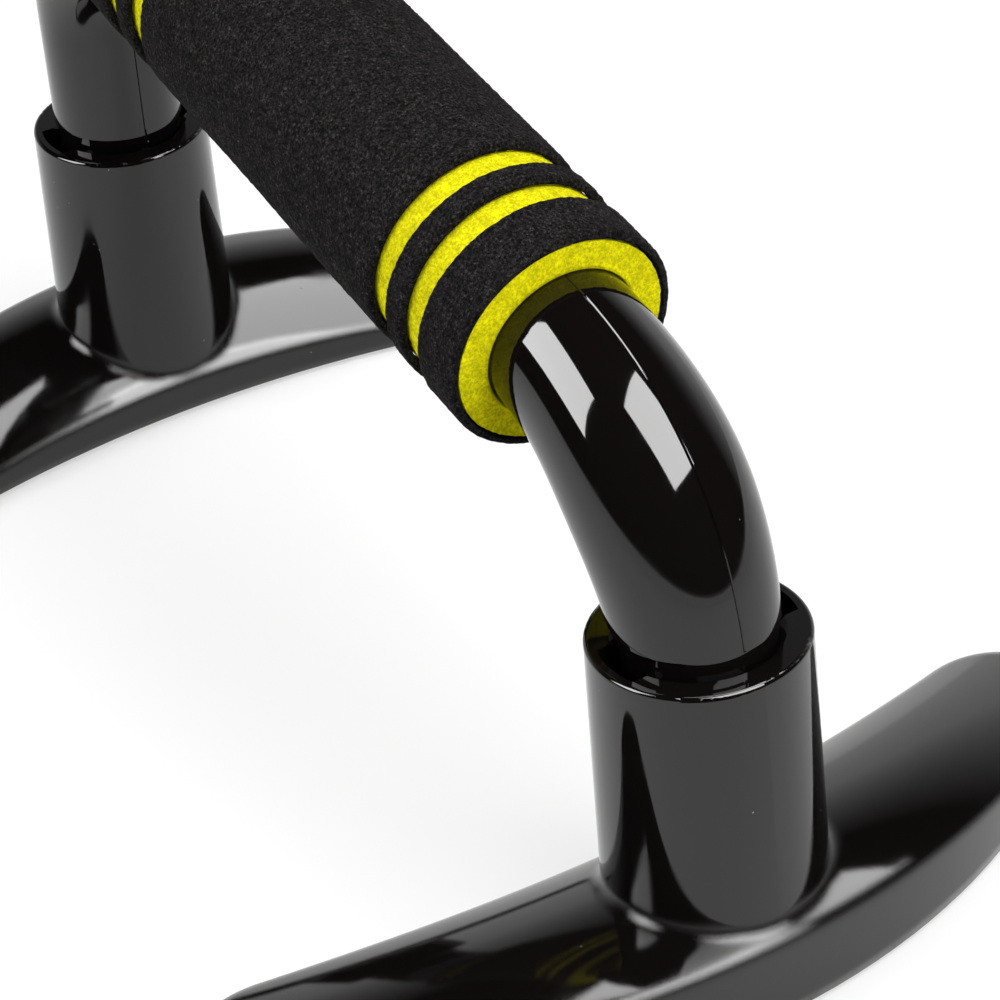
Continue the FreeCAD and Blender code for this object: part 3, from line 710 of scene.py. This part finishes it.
def floor_finish(studio):
    """White floor that shows as white and takes the shadow near the bar."""
    material = bpy.data.materials.new("floor_finish")
    tree = new_tree(material)
    seen = seen_or_mirrored(tree)
    away = vector(tree, "LENGTH", object_place(tree))
    white = stretch(tree, away, *SHADOW_FADE, studio.floor_white, 1)
    colour = mix(tree, "FLOAT", seen, FLOOR_TONE, number(tree, "SUBTRACT", 1.0, white))
    matt = add(tree, "ShaderNodeBsdfDiffuse", {"Color": colour})
    glow = add(tree, "ShaderNodeEmission", {"Strength": number(tree, "MULTIPLY", seen, white)})
    both = add(tree, "ShaderNodeAddShader", {0: matt.outputs[0], 1: glow.outputs[0]})
    add(tree, "ShaderNodeOutputMaterial", {"Surface": both.outputs[0]})
    return material


def room(world, studio):
    """White to the camera, an even fill on matt surfaces, and in the gloss a dark room with a pale wall."""
    tree = new_tree(world)
    way = add(tree, "ShaderNodeTexCoord").outputs["Generated"]
    height = add(tree, "ShaderNodeSeparateXYZ", {"Vector": way}).outputs["Z"]
    towards = vector(tree, "DOT_PRODUCT", way, direction(WALL_AZIMUTH, 0))
    wall = number(tree, "MULTIPLY", stretch(tree, towards, *WALL_SIDE), stretch(tree, height, *WALL_TOP))
    mirrored = number(tree, "MAXIMUM", wall, stretch(tree, height, *GROUND_EDGE))
    rays = add(tree, "ShaderNodeLightPath").outputs
    light = mix(tree, "FLOAT", rays["Is Glossy Ray"], studio.fill, mirrored)
    strength = number(tree, "MAXIMUM", rays["Is Camera Ray"], light)
    background = add(tree, "ShaderNodeBackground", {"Strength": strength})
    add(tree, "ShaderNodeOutputWorld", {"Surface": background.outputs[0]})


def add_camera(studio):
    """The photograph's camera."""
    back = direction(-studio.camera_azimuth, studio.camera_elevation)
    right = (-back).cross(Vector((0, 0, 1))).normalized()
    up = right.cross(-back)
    turn = Matrix((right, up, back)).transposed().to_4x4()
    place = Vector(studio.camera_target) + back * studio.camera_distance
    bpy.ops.object.camera_add()
    camera = bpy.context.object
    camera.name = "photo_camera"
    camera.data.sensor_width = SENSOR_WIDTH
    camera.data.lens = studio.camera_lens
    camera.data.clip_start = CLIP_START
    camera.matrix_world = Matrix.Translation(place) @ turn @ Matrix.Rotation(studio.camera_roll, 4, "Z")
    bpy.context.scene.camera = camera


class PUSHUP_OT_studio(BarOperator, bpy.types.Operator):
    """Lay the white floor and set the softboxes, the room and the camera"""

    bl_idname = "push_up_bar.studio"
    bl_label = "Studio"

    def execute(self, context):
        studio = context.scene.bar_studio
        bpy.ops.object.select_all(action="DESELECT")
        bpy.ops.mesh.primitive_circle_add(
            vertices=FLOOR_SIDES, radius=studio.floor_radius, fill_type="NGON")
        floor = context.object
        floor.name = "studio_floor"
        floor.data.materials.append(floor_finish(studio))
        for name in SOFTBOXES:
            add_softbox(name, studio, on_gloss=False)
            if name not in MATT_ONLY:
                add_softbox(name, studio, on_gloss=True)
        world = bpy.data.worlds.new("studio_room")
        context.scene.world = world
        room(world, studio)
        add_camera(studio)
        context.scene.view_settings.view_transform = "Standard"
        return {"FINISHED"}


class PUSHUP_PT_sidebar(bpy.types.Panel):
    """Sizes, colours and steps of the push-up bar"""

    bl_idname = "PUSHUP_PT_sidebar"
    bl_label = "Push-up Bar"
    bl_space_type = "VIEW_3D"
    bl_region_type = "UI"
    bl_category = "Push-up Bar"

    def draw(self, context):
        for step in STEPS:
            self.layout.operator(step.bl_idname)
        for group in (context.scene.bar_foam, context.scene.bar_parts, context.scene.bar_studio):
            column = self.layout.column()
            for name in group.__annotations__:
                column.prop(group, name)


GROUPS = {"bar_foam": GripFoam, "bar_parts": MouldedParts, "bar_studio": Studio}
STEPS = (
    PUSHUP_OT_plastic, PUSHUP_OT_pads, PUSHUP_OT_fasteners, PUSHUP_OT_foam_core, PUSHUP_OT_foam_bands,
    PUSHUP_OT_studio)


def register():
    for kind in (*GROUPS.values(), *STEPS, PUSHUP_PT_sidebar):
        bpy.utils.register_class(kind)
    for name, group in GROUPS.items():
        setattr(bpy.types.Scene, name, PointerProperty(type=group))


def unregister():
    for name in GROUPS:
        delattr(bpy.types.Scene, name)
    for kind in (PUSHUP_PT_sidebar, *reversed(STEPS), *GROUPS.values()):
        bpy.utils.unregister_class(kind)


def main():
    register()
    bpy.ops.push_up_bar.plastic()
    bpy.ops.push_up_bar.pads()
    bpy.ops.push_up_bar.fasteners()
    bpy.ops.push_up_bar.foam_core()
    bpy.ops.push_up_bar.foam_bands()
    bpy.ops.push_up_bar.studio()


if __name__ == "__main__":
    main()
